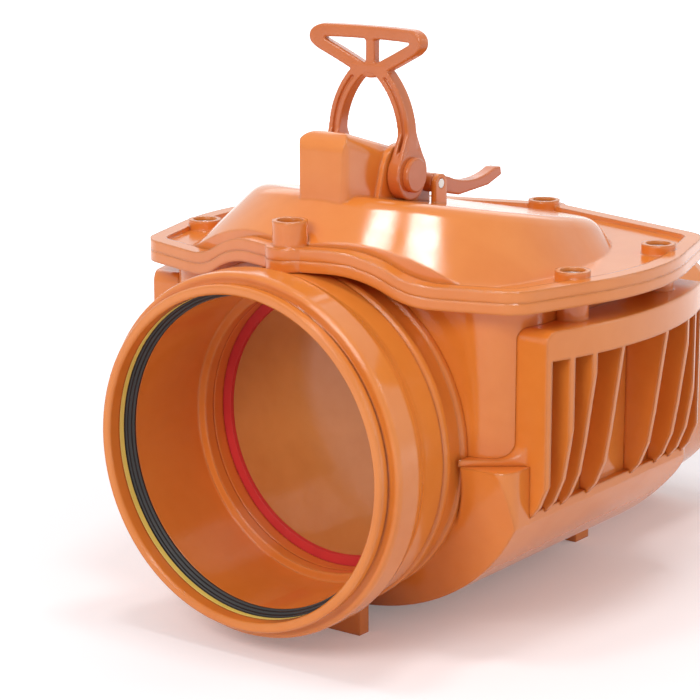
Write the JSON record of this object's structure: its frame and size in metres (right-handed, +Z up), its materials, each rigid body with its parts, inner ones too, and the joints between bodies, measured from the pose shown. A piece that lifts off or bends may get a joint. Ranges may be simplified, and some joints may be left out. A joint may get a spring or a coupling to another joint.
{
  "type": "backwater valve",
  "caption": "Sewer backwater valve with inlet socket, hinged flap on a ring seat, domed bolted lid, lever that locks the flap shut, ribbed flanks and outlet spigot.",
  "frame": {"origin": "on the inlet axis, at the pipe stop inside the socket", "axes": "+X downstream along the pipe, +Y to the left when looking downstream, +Z up"},
  "size_m": [0.378, 0.2806, 0.3068],
  "materials": {
    "pvc_orange": "glossy moulded PVC-U",
    "handle_orange": "satin moulded plastic",
    "seal_black": "matte EPDM",
    "support_yellow": "matte polypropylene",
    "flap_red": "matte rubber",
    "flap_brown": "glossy moulded plastic",
    "stainless": "polished stainless steel",
    "brass": "turned brass"
  },
  "bodies": {
    "housing": {"inlet_socket": "pvc_orange", "valve_body": "pvc_orange", "flank_left": "pvc_orange", "flank_right": "pvc_orange", "outlet_spigot": "pvc_orange", "feet": "pvc_orange", "socket_seal": "seal_black", "socket_seal_support": "support_yellow", "lid": "pvc_orange", "lid_gasket": "seal_black", "lid_screws": "stainless", "lid_inserts": "brass", "hinge_pin": "stainless", "hinge_clips": "stainless", "spindle_bushes": "seal_black", "spindle_orings": "seal_black", "catch_pin": "stainless"},
    "flap": {"flap_plate": "flap_brown", "flap_seal": "flap_red", "flap_frame": "handle_orange", "flap_nuts": "stainless"},
    "lever": {"handle": "handle_orange", "spindle": "stainless", "end_caps": "handle_orange", "lock_arm": "handle_orange", "lock_arm_pin": "stainless"},
    "catch": {"catch_lever": "handle_orange"}
  },
  "joints": [
    {"name": "handle_turn", "type": "hinge", "parent": "housing", "child": "lever", "pos_m": [0.047, 0, 0.13], "axis": [0, 1, 0], "range_deg": [0, 78]},
    {"name": "flap_swing", "type": "hinge", "parent": "housing", "child": "flap", "pos_m": [0.034, 0, 0.084], "axis": [0, -1, 0], "range_deg": [0, 60]},
    {"name": "catch_press", "type": "hinge", "parent": "housing", "child": "catch", "pos_m": [0.0682, -0.022, 0.123], "axis": [0, 1, 0], "range_deg": [0, 8], "stiffness_Nm_per_rad": 0.06, "springref_deg": -5.73}
  ],
  "couplings": [
    {"joint": "flap_swing", "follows": "handle_turn", "ratio": 0.7692}
  ]
}
